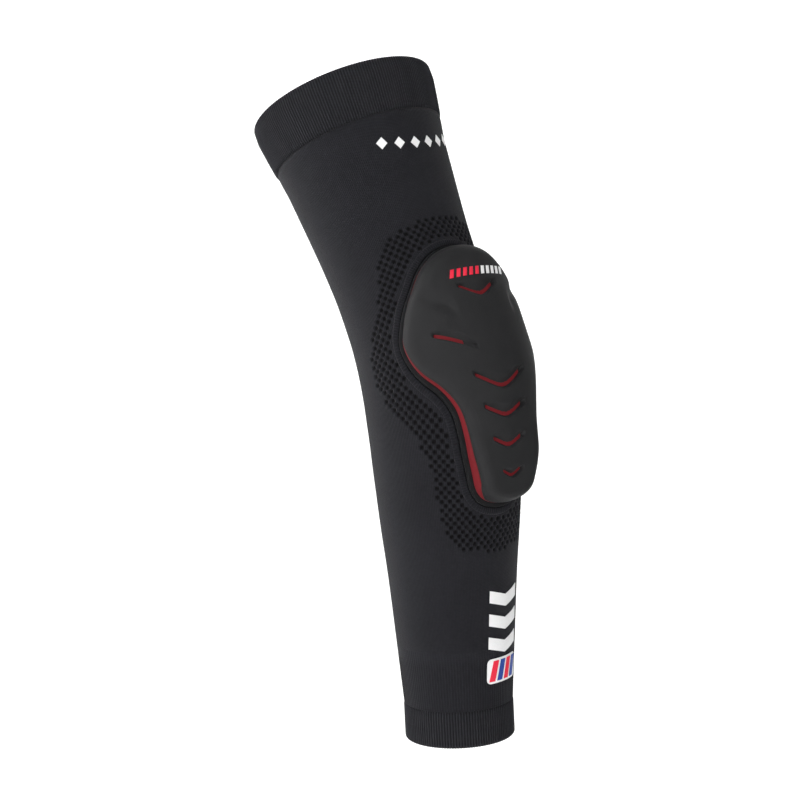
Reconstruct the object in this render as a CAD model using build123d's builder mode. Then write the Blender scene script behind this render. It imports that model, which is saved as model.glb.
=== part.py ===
"""Elbow pad: a knitted arm sleeve with a layered foam pad moulded over the elbow.

The origin is the elbow's centre, where the centrelines of the two arm halves cross.
+Z runs from the wrist to the elbow, the pad faces -Y, and the upper arm leans back
towards +Y by the bend that the sleeve has at rest. All sizes are in millimetres.
"""

import os
from math import cos, radians, sin, tan

from build123d import *

# The arm inside the sleeve
rest_bend = 26.0            # degrees between the two halves at rest
bend_tangent = 35.0         # how far from the elbow centre the bend starts and ends
upper_reach = 165.0         # elbow centre to the upper mouth
lower_reach = 191.0         # elbow centre to the lower mouth

# The knit's outer radius along the arm: (distance above the elbow centre, radius)
elbow_profile = [(-78, 37.2), (-60, 38.7), (-38, 40.4), (-19, 41.3), (0, 41.2),
                 (19, 40.7), (38, 40.0), (58, 39.8), (76, 40.7), (93, 42.1)]
elbow_bottom, elbow_bottom_radius = elbow_profile[0]
elbow_top, elbow_top_radius = elbow_profile[-1]
upper_sleeve_radius = 46.4  # at the upper cuff's lower edge
upper_mouth_radius = 51.2
upper_mouth_straight = 8.0  # length of the round mouth, where the cone stops
forearm_middle = -100.0
forearm_middle_radius = 35.0
rib_height = 32.0           # ribbed knit above the forearm cuff
rib_top_radius = 31.8
rib_bottom_radius = 29.4
forearm_mouth_radius = 29.6

# Knit, cuffs and seams
knit = 1.2                  # thickness of one layer of knit
elastic = 0.8
upper_cuff_height = 30.0
forearm_cuff_height = 18.0
cuff_wall = 2 * knit + elastic
cuff_fold = 1.5             # knit between the elastic and the folded mouth
elastic_margin = 4.0        # from the elastic to the cuff's sewn edge
seam_height = 2.0
join_gap = 0.3              # between neighbouring knit zones and under the pad

# The pad's layers, outwards from the knit
backing = 0.8
flange = 1.2
core = 4.0
red_over_core = 2.5
shell = 3.5
backing_top = join_gap + backing
flange_top = backing_top + flange
core_top = flange_top + core
red_top = core_top + red_over_core
shell_top = red_top + shell

# The pad's outline: (distance above the elbow centre, half-angle round the arm)
pad_outline = [(-63, 8), (-60, 16), (-54, 23), (-45, 27), (-35, 30), (-24, 33), (-15, 36),
               (-8, 43), (0, 54), (8, 60), (17, 63), (28, 56), (40, 44), (50, 32), (55, 21),
               (58, 8)]
pad_middle = (pad_outline[0][0] + pad_outline[-1][0]) / 2
pad_half_length = (pad_outline[-1][0] - pad_outline[0][0]) / 2
wedge_inner = 25.0          # radii that the outline's side walls run between
wedge_outer = 65.0
stitch_border = 3.0         # width of the stitched border outside the flange

# Each layer's outline: its half-angles are the pad's times `narrow`, its ends `trim` short
flange_fit = {"narrow": 1.0, "trim": 0.0}
border_fit = {"narrow": 1.06, "trim": -stitch_border}
red_fit = {"narrow": 0.9, "trim": 2.5}
core_fit = {"narrow": 0.78, "trim": 7.0}
shell_fit = {"narrow": 0.85, "trim": 3.5}

# Grooves through the shell: (distance above the elbow centre, half-width, depth of the V,
# how far its tip lies towards -X)
chevrons = [(-2.5, 15.5, 5.5, 2.5), (-15.5, 12.5, 4.1, 2.8), (-28.0, 10.0, 3.2, 2.5),
            (-43.0, 7.0, 3.2, 0.8)]
chevron_slot = 3.2          # groove width at the tip of each V
top_slot = (33.5, 12.5, 4.5, 1.5)
side_slot_angle = 27.0      # round the arm towards -X
side_slot_along = 13.5
side_slot_size = (18.0, 4.5)
side_slot_tilt = 20.0

# Prints
print_thickness = 0.3
upper_mark_angles = [30, 16, 2, -12, -26, -40]
upper_mark_drop = 17.0      # below the upper cuff's edge
upper_mark_size = (6.0, 6.5)
pad_mark_along = 37.0
pad_mark_shift = 2.2        # of the change of colour, towards +X
pad_mark_pitch = 3.4
pad_mark_size = (1.7, 4.2)
pad_mark_slant = 1.2
pad_mark_count = 5          # of each colour
forearm_print_turn = -12.0  # degrees round the arm from the pad's centreline
forearm_print_width = 23.0
forearm_print_rises = [57.5, 45.0, 32.5]  # above the forearm cuff's edge
forearm_print_drop = 3.5    # how far each chevron's tip lies below its ends
forearm_print_bar = 6.5
badge_rise = 20.0           # above the forearm cuff's edge
badge_size = (24.0, 13.5)
badge_corner = 2.5
badge_rim = 1.2
badge_stripe = 3.6
badge_stripe_pitch = 5.2
badge_stripe_slant = 2.5
badge_stripe_count = 4

lower_axis = Axis((0, 0, 0), (0, 0, 1))
upper_direction = (0, sin(radians(rest_bend)), cos(radians(rest_bend)))
upper_axis = Axis((0, 0, 0), upper_direction)
lower_profile_plane = Plane.XZ
upper_profile_plane = Plane(
    origin=(0, 0, 0), x_dir=(1, 0, 0),
    z_dir=(0, -cos(radians(rest_bend)), sin(radians(rest_bend))))


def station(along):
    """Plane square to the arm's bent centreline at this distance above the elbow centre."""
    bend_radius = bend_tangent / tan(radians(rest_bend) / 2)
    share = (along + bend_tangent) / (2 * bend_tangent)
    turn = radians(rest_bend) * min(max(share, 0), 1)
    if along <= -bend_tangent:
        centre = (0, 0, along)
    elif along < bend_tangent:
        centre = (0, bend_radius * (1 - cos(turn)), bend_radius * sin(turn) - bend_tangent)
    else:
        centre = (0, along * sin(turn), along * cos(turn))
    return Plane(origin=centre, x_dir=(1, 0, 0), z_dir=(0, sin(turn), cos(turn)))


def facing(along, around=0.0):
    """Plane at that height that looks out at the pad, turned `around` degrees towards -X."""
    level = station(along).rotated((0, 0, -around))
    return Plane(origin=level.origin, x_dir=level.x_dir, z_dir=-level.y_dir)


def elbow_tube(offset):
    """Solid that fills the sleeve round the elbow, `offset` outside the knit's outer face."""
    with BuildPart() as tube:
        for along, radius in elbow_profile:
            with BuildSketch(station(along)):
                Circle(radius + offset)
        loft()
    return tube.part


def pad_wedge(narrow, trim):
    """Everything inside the pad's outline, with walls that point at the arm's centreline."""
    with BuildPart() as wedge:
        for along, half_angle in pad_outline:
            half = half_angle * narrow
            share = 1 - trim / pad_half_length
            with BuildSketch(station(pad_middle + (along - pad_middle) * share)):
                with BuildLine():
                    inner = CenterArc((0, 0), wedge_inner, -90 - half, 2 * half)
                    outer = CenterArc((0, 0), wedge_outer, -90 - half, 2 * half)
                    Line(inner @ 0, outer @ 0)
                    Line(inner @ 1, outer @ 1)
                make_face()
        loft()
    return wedge.part


def between(line, start, stop):
    """The stretch of a (radius, distance) line from one distance to another."""
    def radius_at(along):
        for (radius_0, along_0), (radius_1, along_1) in zip(line, line[1:]):
            if min(along_0, along_1) <= along <= max(along_0, along_1):
                share = (along - along_0) / (along_1 - along_0)
                return radius_0 + (radius_1 - radius_0) * share

    low, high = sorted((start, stop))
    inside = [point for point in line if low < point[1] < high]
    return [(radius_at(start), start)] + inside + [(radius_at(stop), stop)]


def ring(plane, axis, line, depth, thickness):
    """Turned ring that follows a line, `depth` below it and `thickness` thick."""
    outer = [(radius - depth, along) for radius, along in line]
    inner = [(radius - depth - thickness, along) for radius, along in line]
    with BuildPart() as turned:
        with BuildSketch(plane):
            with BuildLine():
                Polyline(*outer, *inner[::-1], close=True)
            make_face()
        revolve(axis=axis)
    return turned.part


def solid_core(plane, axis, line, offset):
    """Solid inside a line, grown outwards by `offset`."""
    with BuildPart() as turned:
        with BuildSketch(plane):
            with BuildLine():
                Polyline((0, line[0][1]), *[(radius + offset, along) for radius, along in line],
                         (0, line[-1][1]), close=True)
            make_face()
        revolve(axis=axis)
    return turned.part


def keep(piece, node):
    """Label a finished piece and write it under its node's name."""
    piece.label = node
    export_step(piece, f"parts/{node}.step")


os.makedirs("parts", exist_ok=True)

# Lines that the knit and the cuffs follow, as (radius, distance above the elbow centre)
upper_cuff_edge = upper_reach - upper_cuff_height
forearm_cuff_edge = -lower_reach + forearm_cuff_height
rib_top = forearm_cuff_edge + rib_height
upper_line = [(elbow_top_radius, elbow_top), (upper_sleeve_radius, upper_cuff_edge)]
forearm_line = [(elbow_bottom_radius, elbow_bottom), (forearm_middle_radius, forearm_middle),
                (rib_top_radius, rib_top), (rib_bottom_radius, forearm_cuff_edge)]
upper_cuff_line = [(upper_sleeve_radius + knit, upper_cuff_edge),
                   (upper_mouth_radius, upper_reach - upper_mouth_straight),
                   (upper_mouth_radius, upper_reach)]
forearm_cuff_line = [(forearm_mouth_radius, forearm_cuff_edge),
                     (forearm_mouth_radius, -lower_reach)]
upper = (upper_profile_plane, upper_axis)
lower = (lower_profile_plane, lower_axis)

# Cuffs: knit folded round each mouth, with an elastic and a sewn seam between the layers
for side, arm, line, mouth_way in (("upper", upper, upper_cuff_line, 1),
                                   ("forearm", lower, forearm_cuff_line, -1)):
    edge, mouth = line[0][1], line[-1][1]
    fold = mouth - mouth_way * cuff_fold
    pocket = ring(*arm, between(line, edge, fold), knit, elastic)
    band = ring(*arm, between(line, edge + mouth_way * elastic_margin, fold), knit, elastic)
    seam = ring(*arm, between(line, edge, edge + mouth_way * seam_height), knit, elastic)
    wall = ring(*arm, line, 0, cuff_wall)
    with BuildPart() as cuff:
        add(wall)
        add(pocket, mode=Mode.SUBTRACT)
    keep(cuff.part, f"{side}_cuff")
    keep(band, f"{side}_cuff_elastic")
    keep(seam, f"{side}_cuff_seam")

# Plain knit of the upper arm, knit round the elbow, plain and ribbed knit of the forearm
keep(ring(*upper, between(upper_line, elbow_top + join_gap, upper_cuff_edge), 0, knit),
     "upper_arm_sleeve")
keep(ring(*lower, between(forearm_line, elbow_bottom - join_gap, rib_top), 0, knit),
     "forearm_sleeve")
keep(ring(*lower, between(forearm_line, rib_top, forearm_cuff_edge), 0, knit), "forearm_rib")

elbow_outside = elbow_tube(0)
elbow_inside = elbow_tube(-knit)
with BuildPart() as elbow_sleeve:
    add(elbow_outside)
    add(elbow_inside, mode=Mode.SUBTRACT)
keep(elbow_sleeve.part, "elbow_sleeve")

# The pad: layers between tubes that follow the elbow, each cut to its own outline
levels = [elbow_tube(offset) for offset in
          (join_gap, backing_top, flange_top, core_top, red_top, shell_top,
           shell_top + print_thickness)]
under, on_backing, on_flange, on_core, on_red, on_shell, on_mark = levels
flange_wedge = pad_wedge(**flange_fit)
border_wedge = pad_wedge(**border_fit)
red_wedge = pad_wedge(**red_fit)
core_wedge = pad_wedge(**core_fit)
shell_wedge = pad_wedge(**shell_fit)

with BuildPart() as pad_backing:
    add(on_backing)
    add(under, mode=Mode.SUBTRACT)
    add(flange_wedge, mode=Mode.INTERSECT)
keep(pad_backing.part, "pad_backing")

with BuildPart() as pad_flange:
    add(on_flange)
    add(on_backing, mode=Mode.SUBTRACT)
    add(flange_wedge, mode=Mode.INTERSECT)
keep(pad_flange.part, "pad_flange")

with BuildPart() as pad_stitching:
    add(on_backing)
    add(under, mode=Mode.SUBTRACT)
    add(border_wedge, mode=Mode.INTERSECT)
    add(flange_wedge, mode=Mode.SUBTRACT)
keep(pad_stitching.part, "pad_stitching")

with BuildPart() as pad_core:
    add(on_core)
    add(on_flange, mode=Mode.SUBTRACT)
    add(core_wedge, mode=Mode.INTERSECT)
keep(pad_core.part, "pad_core")

with BuildPart() as pad_red_layer:
    add(on_red)
    add(on_flange, mode=Mode.SUBTRACT)
    add(red_wedge, mode=Mode.INTERSECT)
    add(pad_core.part, mode=Mode.SUBTRACT)
keep(pad_red_layer.part, "pad_red_layer")

with BuildPart() as pad_shell:
    add(on_shell)
    add(on_red, mode=Mode.SUBTRACT)
    add(shell_wedge, mode=Mode.INTERSECT)
    for along, half_width, depth, tip in chevrons:
        with BuildSketch(facing(along)):
            with BuildLine():
                Polyline((-half_width - tip, 0), (-tip, -depth), (half_width - tip, 0),
                         (-tip, chevron_slot - depth), close=True)
            make_face()
        extrude(amount=wedge_outer, mode=Mode.SUBTRACT)
    slot_along, slot_half, slot_depth, slot_tip = top_slot
    with BuildSketch(facing(slot_along)):
        with BuildLine():
            Polyline((-slot_half - slot_tip, 0), (-slot_tip, -slot_depth),
                     (slot_half - slot_tip, 0), close=True)
        make_face()
    extrude(amount=wedge_outer, mode=Mode.SUBTRACT)
    with BuildSketch(facing(side_slot_along, side_slot_angle)):
        SlotOverall(*side_slot_size, rotation=-side_slot_tilt)
    extrude(amount=wedge_outer, mode=Mode.SUBTRACT)
keep(pad_shell.part, "pad_shell")

# Printed marks: slanted bars on the pad, red on one half and white on the other
for colour, way in (("red", -1), ("white", 1)):
    with BuildPart() as pad_mark:
        with BuildSketch(facing(pad_mark_along)):
            bar_width, bar_height = pad_mark_size
            with Locations(*[(way * pad_mark_pitch * (step + 0.5) + pad_mark_shift, 0)
                             for step in range(pad_mark_count)]):
                Polygon((-bar_width / 2, 0), (bar_width / 2, 0),
                        (bar_width / 2 + pad_mark_slant, bar_height),
                        (-bar_width / 2 + pad_mark_slant, bar_height), align=None)
        extrude(amount=wedge_outer)
        add(on_mark, mode=Mode.INTERSECT)
        add(on_shell, mode=Mode.SUBTRACT)
    keep(pad_mark.part, f"pad_mark_{colour}")

# White marks under the upper cuff, each facing its own way round the arm
upper_printed = solid_core(*upper, upper_line, print_thickness)
upper_bare = solid_core(*upper, upper_line, 0)
with BuildPart() as upper_print:
    for angle in upper_mark_angles:
        with BuildSketch(facing(upper_cuff_edge - upper_mark_drop, angle)):
            width, height = upper_mark_size
            Polygon((-width / 2, 0), (0, -height / 2), (width / 2, 0), (0, height / 2),
                    align=None)
        extrude(amount=wedge_outer)
    add(upper_printed, mode=Mode.INTERSECT)
    add(upper_bare, mode=Mode.SUBTRACT)
keep(upper_print.part, "upper_print")

# Forearm print: three bold chevrons, and a badge with coloured fields below them
forearm_printed = solid_core(*lower, forearm_line, print_thickness)
forearm_bare = solid_core(*lower, forearm_line, 0)
forearm_on_badge = solid_core(*lower, forearm_line, 2 * print_thickness)
half_print = forearm_print_width / 2
with BuildPart() as forearm_print:
    for rise in forearm_print_rises:
        with BuildSketch(facing(forearm_cuff_edge + rise, forearm_print_turn)):
            Polygon((-half_print, 0), (0, -forearm_print_drop), (half_print, 0),
                    (half_print, forearm_print_bar),
                    (0, forearm_print_bar - forearm_print_drop),
                    (-half_print, forearm_print_bar), align=None)
        extrude(amount=wedge_outer)
    add(forearm_printed, mode=Mode.INTERSECT)
    add(forearm_bare, mode=Mode.SUBTRACT)
keep(forearm_print.part, "forearm_print")

badge_plane = facing(forearm_cuff_edge + badge_rise, forearm_print_turn)
with BuildPart() as forearm_badge:
    with BuildSketch(badge_plane):
        RectangleRounded(*badge_size, badge_corner)
    extrude(amount=wedge_outer)
    add(forearm_printed, mode=Mode.INTERSECT)
    add(forearm_bare, mode=Mode.SUBTRACT)
keep(forearm_badge.part, "forearm_badge")

stripe_top = badge_size[1] / 2 - badge_rim
for colour, first in (("red", 0), ("blue", 1)):
    with BuildPart() as badge_stripes:
        with BuildSketch(badge_plane):
            with Locations(*[((step - (badge_stripe_count - 1) / 2) * badge_stripe_pitch, 0)
                             for step in range(first, badge_stripe_count, 2)]):
                Polygon((-badge_stripe / 2 - badge_stripe_slant / 2, -stripe_top),
                        (badge_stripe / 2 - badge_stripe_slant / 2, -stripe_top),
                        (badge_stripe / 2 + badge_stripe_slant / 2, stripe_top),
                        (-badge_stripe / 2 + badge_stripe_slant / 2, stripe_top), align=None)
        extrude(amount=wedge_outer)
        add(forearm_on_badge, mode=Mode.INTERSECT)
        add(forearm_printed, mode=Mode.SUBTRACT)
    keep(badge_stripes.part, f"forearm_badge_{colour}")
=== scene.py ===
"""Elbow pad: a black knitted compression sleeve with a moulded foam pad over the elbow.

The arm hangs from its upper mouth at the top to its wrist mouth at the bottom, the pad faces
-Y, and the upper arm leans back towards +Y. Every piece is worked out along the arm's bent
centreline, from a distance along it, an angle round it and a height above the knit. Shapes are
in metres and radians.
"""

from math import cos, pi, radians, sin, tan

import bpy
import numpy as np
from mathutils import Matrix, Vector


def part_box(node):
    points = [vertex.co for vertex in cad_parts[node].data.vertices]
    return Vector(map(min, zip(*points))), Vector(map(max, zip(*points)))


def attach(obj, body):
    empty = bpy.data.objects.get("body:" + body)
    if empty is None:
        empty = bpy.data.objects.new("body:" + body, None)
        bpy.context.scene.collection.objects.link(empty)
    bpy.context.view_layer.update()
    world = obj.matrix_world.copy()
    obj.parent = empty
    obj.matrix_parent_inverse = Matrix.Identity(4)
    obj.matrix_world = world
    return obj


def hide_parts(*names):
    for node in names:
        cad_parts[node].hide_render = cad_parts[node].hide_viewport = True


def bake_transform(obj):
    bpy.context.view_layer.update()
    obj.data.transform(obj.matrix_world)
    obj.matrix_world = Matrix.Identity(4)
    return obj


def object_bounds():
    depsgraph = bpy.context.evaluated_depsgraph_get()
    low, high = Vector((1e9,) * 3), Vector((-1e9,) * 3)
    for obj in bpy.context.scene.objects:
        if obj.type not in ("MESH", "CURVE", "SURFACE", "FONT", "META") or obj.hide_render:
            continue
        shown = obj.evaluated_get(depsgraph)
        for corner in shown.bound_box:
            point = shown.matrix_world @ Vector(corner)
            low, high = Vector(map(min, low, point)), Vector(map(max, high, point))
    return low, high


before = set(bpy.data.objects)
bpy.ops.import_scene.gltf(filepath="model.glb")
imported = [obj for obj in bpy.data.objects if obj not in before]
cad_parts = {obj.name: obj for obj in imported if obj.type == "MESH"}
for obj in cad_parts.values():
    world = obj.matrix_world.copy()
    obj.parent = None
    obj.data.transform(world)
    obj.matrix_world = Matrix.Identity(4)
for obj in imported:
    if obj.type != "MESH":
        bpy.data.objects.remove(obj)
CAD_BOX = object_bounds()

bl_info = {
    "name": "Elbow Pad",
    "version": (1, 0, 0),
    "blender": (4, 5, 0),
    "location": "View3D > Sidebar > Elbow Pad",
    "description": "Builds a knitted elbow sleeve with a moulded foam pad",
    "category": "Add Mesh",
}

MM = 0.001

# Where the sleeve's knit changes, as distances above the elbow: the upper cuff's lower edge,
# the forearm's ribbed end, and that end's lower edge
CUFF_START = 136 * MM
RIB_START = -141 * MM
RIB_END = -173 * MM
# Rows this near to an end keep its corner sharp under smooth shading
END_ROW = 0.2 * MM

# The knit's outer radius along the arm, as (distance above the elbow, radius)
ARM_RADIUS = MM * np.array([
    (-173, 29.4), (-141, 31.8), (-100, 35.0), (-78, 37.2), (-60, 38.7), (-38, 40.4), (-19, 41.3),
    (0, 41.2), (19, 40.7), (38, 40.0), (58, 39.8), (76, 40.7), (93, 42.1), (114, 44.2), (135, 46.4)])
# Half-angle of the open mesh knit round the pad, as (distance above the elbow, degrees)
MESH_ZONE = np.array([
    (-88, 0), (-84, 38), (-70, 48), (-42, 53), (-22, 65), (-10, 84), (5, 93), (20, 90), (45, 67),
    (62, 58), (70, 46), (75, 26), (77, 0)])
# The pad's outline, as (distance above the elbow, half-angle round the arm in degrees)
PAD_OUTLINE = np.array([
    (-63.5, 9), (-61, 18), (-55, 24.5), (-45.5, 27.5), (-37, 29.8), (-24, 32.8), (-16, 35.5),
    (-8, 43), (0, 54.3), (8, 60.5), (17, 62.7), (28, 56.5), (40, 44), (50, 32.5), (56, 21),
    (58.8, 8)])
# Height of the red foam that shows below the shell, as (distance above the elbow, millimetres)
RED_SHOWN = np.array([
    (-61, 0.2), (-57, 2.6), (-50, 5.0), (-40, 4.8), (-30, 3.9), (-20, 3.5), (-8, 3.1), (4, 3.1),
    (14, 2.7), (22, 1.4), (30, 0.3), (44, 0.5), (54, 0.1)])
# Width over which the shell rounds off inside its edge, as (distance above the elbow, millimetres)
SHELL_ROUNDING = np.array([(-63, 5), (-15, 6.5), (2, 8.5), (20, 10), (45, 9), (58, 8)])
# Slots through the shell, millimetres in front view: middle across, height, half length,
# how far the tip hangs, slope, length of the ramp above, and where the red shows along it.
# The ramp of a slot on the brow, above this height, ends in a straight line
BROW = 20
SLOTS = [
    (2.5, -2.6, 15.5, 5.5, 0.0, 4.0, (-0.9, 1.0)),
    (2.8, -15.4, 12.6, 4.1, 0.0, 3.8, (-0.9, 1.0)),
    (2.5, -28.2, 10.0, 3.2, 0.0, 3.4, (-0.9, 1.0)),
    (0.8, -43.2, 6.7, 3.2, 0.0, 2.6, (-0.95, 1.0)),
    (1.5, 33.6, 12.4, 4.3, 0.0, 6.0, (-0.9, 0.95)),
    (23.6, 12.1, 9.4, 0.0, 0.42, 3.8, (-0.38, 1.0)),
]
# Soft lights: name, turn round the arm and height in degrees, distance, size and power
LIGHTS = [
    ("key_light", -85, 50, 1.6, 0.9, 10),
    ("fill_light", -20, 25, 1.8, 1.2, 1),
    ("edge_light", -150, 15, 1.5, 0.9, 8),
]


def linear(value):
    """sRGB hex to linear colour: each channel goes through the sRGB curve."""
    channels = [int(value[i:i + 2], 16) / 255 for i in (0, 2, 4)]
    return [c / 12.92 if c <= 0.04045 else ((c + 0.055) / 1.055) ** 2.4 for c in channels] + [1.0]


def length(name, description, default):
    """A size in metres that the user can change."""
    return bpy.props.FloatProperty(name=name, description=description, default=default,
                                   min=0.0, precision=5, unit="LENGTH")


def colour(name, description, default):
    """A colour that the user can change, given as sRGB hex."""
    return bpy.props.FloatVectorProperty(name=name, description=description, subtype="COLOR",
                                         size=4, min=0.0, max=1.0, default=linear(default))


class ElbowPadSleeve(bpy.types.PropertyGroup):
    """Sizes of the knitted sleeve and its cuffs"""
    bend: bpy.props.FloatProperty(
        name="Rest bend", description="Angle between the two halves of the arm at rest",
        default=radians(26), subtype="ANGLE")
    bend_reach: length("Bend reach", "How far from the elbow the bend starts and ends", 35 * MM)
    knit: length("Knit", "Thickness of one layer of knit", 1.2 * MM)
    hole_pitch: length("Hole pitch", "Distance between holes of the open knit in a row", 4.5 * MM)
    hole_rows: length("Hole rows", "Distance between a row of holes and the same row again", 4.7 * MM)
    hole_depth: length("Hole depth", "How far the open knit sinks at each hole", 0.9 * MM)
    mouth_tilt: length("Mouth tilt", "How much higher the upper mouth stands at the back", 4.5 * MM)
    wale: length("Wale", "Width of one wale of the plain knit, drawn coarser than real", 0.95 * MM)
    rib: length("Rib", "Distance between two ribs of a cuff", 1.5 * MM)
    rib_height: length("Rib height", "Height of a rib above its groove", 0.55 * MM)
    cuff_gap: length("Cuff gap", "Room for the elastic between a cuff's two layers", 0.8 * MM)


class ElbowPadPad(bpy.types.PropertyGroup):
    """Sizes of the layered pad, as heights above the knit"""
    backing_low: length("Backing underside", "Underside of the backing cloth", 0.3 * MM)
    backing_top: length("Backing top", "Top of the backing cloth", 1.1 * MM)
    skirt_top: length("Skirt top", "Top of the skirt round the pad", 2.3 * MM)
    core_top: length("Core top", "Top of the soft foam core", 6.3 * MM)
    red_top: length("Red top", "Top of the red foam under the shell", 8.8 * MM)
    shell_top: length("Shell top", "Top of the shell", 12.3 * MM)
    skirt_width: length("Skirt width", "Skirt that shows below the red foam", 2.5 * MM)
    border: length("Border", "Width of the stitched border round the skirt", 4.2 * MM)
    stitch: length("Stitch", "Distance between two stitches of the border", 1.25 * MM)
    slot_depth: length("Slot depth", "How far the red foam lies below the shell in a slot", 1.8 * MM)


class ElbowPadColours(bpy.types.PropertyGroup):
    """Colours of the finishes"""
    knit: colour("Knit", "Black yarn of the sleeve", "212125")
    cuff: colour("Cuff", "Black yarn of the ribbed cuffs", "2a2a2e")
    shell: colour("Shell", "Dark grey moulded shell", "272728")
    skirt: colour("Skirt", "Black skirt round the pad", "121214")
    red: colour("Red foam", "Red foam under the shell", "701c22")
    print_white: colour("White print", "White of the prints", "f4f4f4")
    print_red: colour("Red print", "Red of the prints", "ee2240")
    print_blue: colour("Blue print", "Blue of the badge", "27489c")


class ElbowPadStudio(bpy.types.PropertyGroup):
    """Camera and room"""
    azimuth: bpy.props.FloatProperty(name="Azimuth", description="Camera's turn round the arm",
                                     default=radians(-40), subtype="ANGLE")
    elevation: bpy.props.FloatProperty(name="Elevation", description="Camera above level",
                                       default=radians(7.02), subtype="ANGLE")
    roll: bpy.props.FloatProperty(name="Roll", description="Camera's turn about its own axis",
                                  default=radians(-2.89), subtype="ANGLE")
    distance: length("Distance", "From the camera to what it looks at", 1.0812)
    lens: bpy.props.FloatProperty(name="Lens", description="Focal length on a 36 mm sensor",
                                  default=91.8)
    aim_right: length("Aim right", "From the camera's aim to the elbow, to the right", 22.95 * MM)
    aim_down: length("Aim down", "How far the camera's aim lies below the elbow", 10.76 * MM)
    floor_drop: length("Floor drop", "From the sleeve's lowest point to the floor", 0.35)


def smooth_step(low, high, value):
    """0 below low, 1 above high, and a smooth S between."""
    share = np.clip((value - low) / (high - low), 0, 1)
    return share * share * (3 - 2 * share)


def smooth_line(knots, value):
    """Cubic through the knots whose slope at each is that of its neighbours."""
    place, height = knots[:, 0], knots[:, 1]
    slope = np.gradient(height, place)
    value = np.clip(value, place[0], place[-1])
    index = np.clip(np.searchsorted(place, value) - 1, 0, len(place) - 2)
    span = place[index + 1] - place[index]
    s = (value - place[index]) / span
    return (height[index] * (1 + 2 * s) * (1 - s) ** 2 + slope[index] * span * s * (1 - s) ** 2
            + height[index + 1] * s * s * (3 - 2 * s) + slope[index + 1] * span * s * s * (s - 1))


def arm_point(along, around, radius):
    """Point beside the bent centreline: straight, then an arc, then straight again.

    `along` is the distance above the elbow, `around` the angle from the pad's middle towards
    -X, and `radius` the distance from the centreline.
    """
    sleeve = bpy.context.scene.elbow_sleeve
    reach, bend = sleeve.bend_reach, sleeve.bend
    turn = bend * np.clip((along + reach) / (2 * reach), 0, 1)
    arc = reach / tan(bend / 2)
    middle_y = np.where(along > reach, along * np.sin(turn), arc * (1 - np.cos(turn)))
    middle_z = np.where(along > reach, along * np.cos(turn),
                        np.where(along < -reach, along, arc * np.sin(turn) - reach))
    out = radius * np.cos(around)
    return np.stack(np.broadcast_arrays(-radius * np.sin(around), middle_y - out * np.cos(turn),
                                        middle_z + out * np.sin(turn)), -1)


def skin(name, parts, material, uv=None, attributes=None):
    """Mesh made of grids that are closed round their columns.

    Each part is (points, loop): points[row, column] is its grid. Its rows run outwards and
    upwards, so that its faces point outwards. With loop, the last row joins the first, and
    otherwise each end closes on one point in its middle. `uv` gives the first part's rows and
    columns a place on the cloth, and `attributes` its points named values.
    """
    points, sides, ends, offset = [], [], [], 0
    for grid, loop in parts:
        rows, columns = grid.shape[:2]
        index = offset + np.arange(rows * columns).reshape(rows, columns)
        below = index if loop else index[:-1]
        above = np.roll(index, -1, 0) if loop else index[1:]
        quads = [below, above, np.roll(above, -1, 1), np.roll(below, -1, 1)]
        sides.append(np.stack(quads, -1).reshape(-1, 4))
        points.append(grid.reshape(-1, 3))
        offset += rows * columns
        if not loop:
            for edge, flip in ((index[0], False), (index[-1], True)):
                points.append(grid.reshape(-1, 3)[edge - index[0, 0]].mean(0)[None])
                beside = np.roll(edge, -1)
                middle = np.full(columns, offset)
                fan = (beside, edge, middle) if flip else (edge, beside, middle)
                ends.append(np.stack(fan, -1))
                offset += 1
    faces = [face for group in sides + ends for face in group.tolist()]
    mesh = bpy.data.meshes.new(name)
    mesh.from_pydata(np.concatenate(points), [], faces)
    mesh.shade_smooth()
    if uv is not None:
        across, up = uv
        rows, columns = len(up) - 1, len(across) - 1
        row, column = np.mgrid[0:rows, 0:columns]
        corner = [(row, column), (row + 1, column), (row + 1, column + 1), (row, column + 1)]
        place = np.zeros((len(mesh.loops), 2))
        flat = np.stack([np.stack([across[c], up[r]], -1) for r, c in corner], 2)
        place[:rows * columns * 4] = flat.reshape(-1, 2)
        layer = mesh.uv_layers.new(name="Cloth")
        layer.data.foreach_set("uv", place.astype(np.float32).ravel())
    for label, values in (attributes or {}).items():
        full = np.zeros(len(mesh.vertices), np.float32)
        full[:values.size] = values.ravel()
        mesh.attributes.new(label, "FLOAT", "POINT").data.foreach_set("value", full)
    mesh.materials.append(material)
    mesh.validate()
    piece = bpy.data.objects.new(name, mesh)
    bpy.context.scene.collection.objects.link(piece)
    return piece


def follow_elbow(piece):
    """Bake the piece's place into its mesh: it starts on the upper arm and ends on the forearm."""
    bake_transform(piece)


# Materials

def add_node(tree, kind, inputs=None, **settings):
    """Add a shader node with its settings, and fill or link the inputs that are named."""
    node = tree.nodes.new(kind)
    for name, value in settings.items():
        setattr(node, name, value)
    for name, value in (inputs or {}).items():
        if isinstance(value, bpy.types.NodeSocket):
            tree.links.new(value, node.inputs[name])
        else:
            node.inputs[name].default_value = value
    return node


def new_material(name, roughness, specular, **sockets):
    """Material with a Principled shader, its even values set on its own sockets."""
    material = bpy.data.materials.new(name)
    material.use_nodes = True
    tree = material.node_tree
    shader = tree.nodes["Principled BSDF"]
    shader.inputs["Roughness"].default_value = roughness
    shader.inputs["Specular IOR Level"].default_value = specular
    for socket, value in sockets.items():
        shader.inputs[socket.replace("_", " ")].default_value = value
    return material, tree, shader


def shaded(tone, amount):
    """The same colour, darker below 1 and lighter above."""
    return [amount * c for c in tone[:3]] + [1.0]


def mixed(tree, share, first, second):
    """Colour socket that goes from first to second with share."""
    node = add_node(tree, "ShaderNodeMix", {0: share, 6: first, 7: second}, data_type="RGBA")
    return node.outputs[2]


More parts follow.
